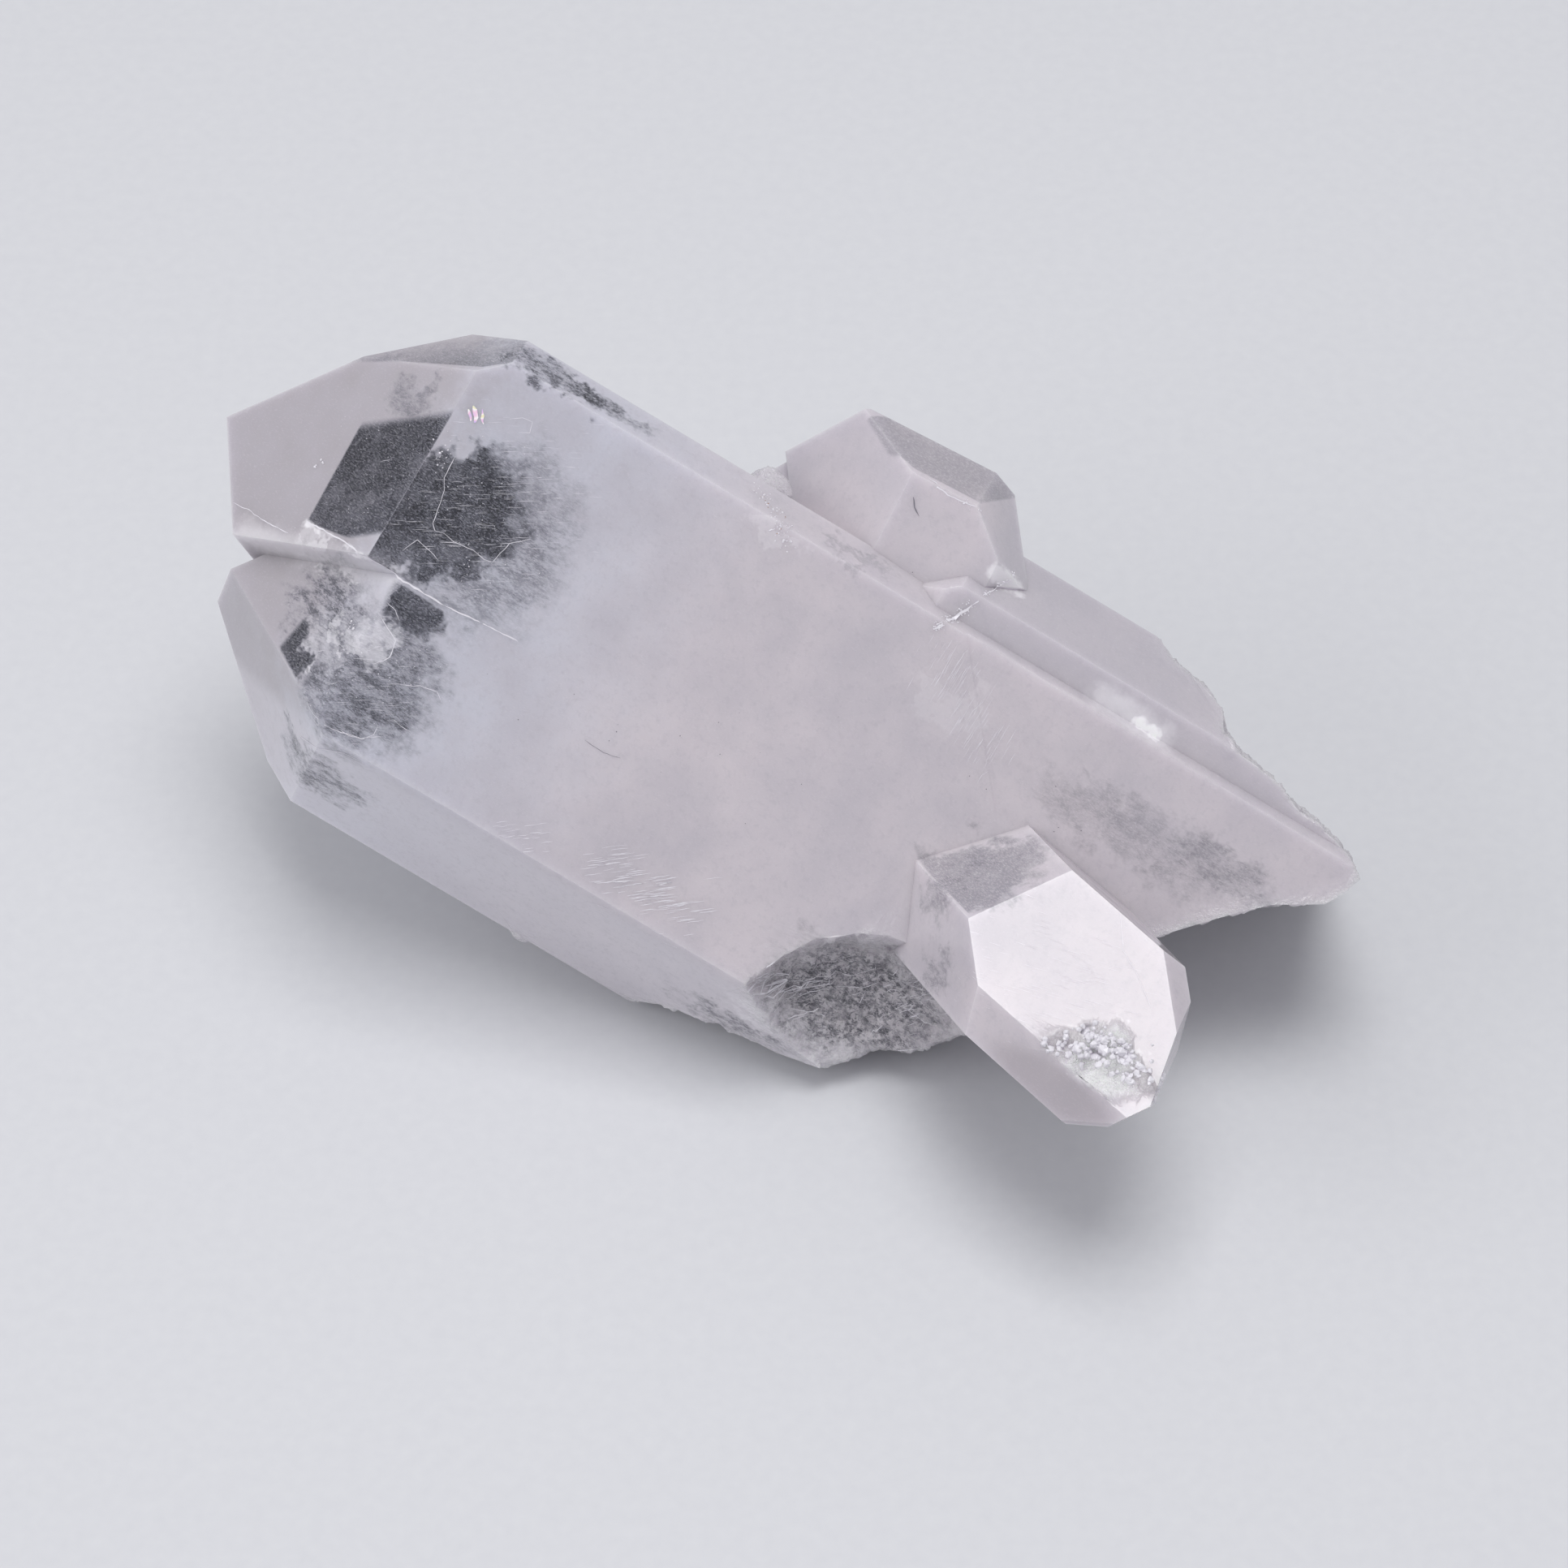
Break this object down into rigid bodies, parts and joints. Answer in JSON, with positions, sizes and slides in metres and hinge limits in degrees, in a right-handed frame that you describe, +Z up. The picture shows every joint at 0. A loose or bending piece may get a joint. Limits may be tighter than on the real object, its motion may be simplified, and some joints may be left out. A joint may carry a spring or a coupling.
{
  "type": "quartz crystal cluster",
  "caption": "Hand-sized cluster of milky quartz: a broad flat blade with a clear faceted tip, smaller crystals grown on its back and front, and a rough broken right end.",
  "frame": {"origin": "on the table, under the middle of the cluster's box, with the worn spots of the underside at z = 0", "axes": "+Z up; +X towards the broken right end, with the blade's tip on the -X side; -Y towards the side with the broad front face"},
  "size_m": [0.0866, 0.0586, 0.0445],
  "materials": {
    "quartz": "natural crystal faces, milky inside with clear zones at the tips"
  },
  "bodies": {
    "root": {"quartz_cluster": "quartz"}
  },
  "joints": []
}
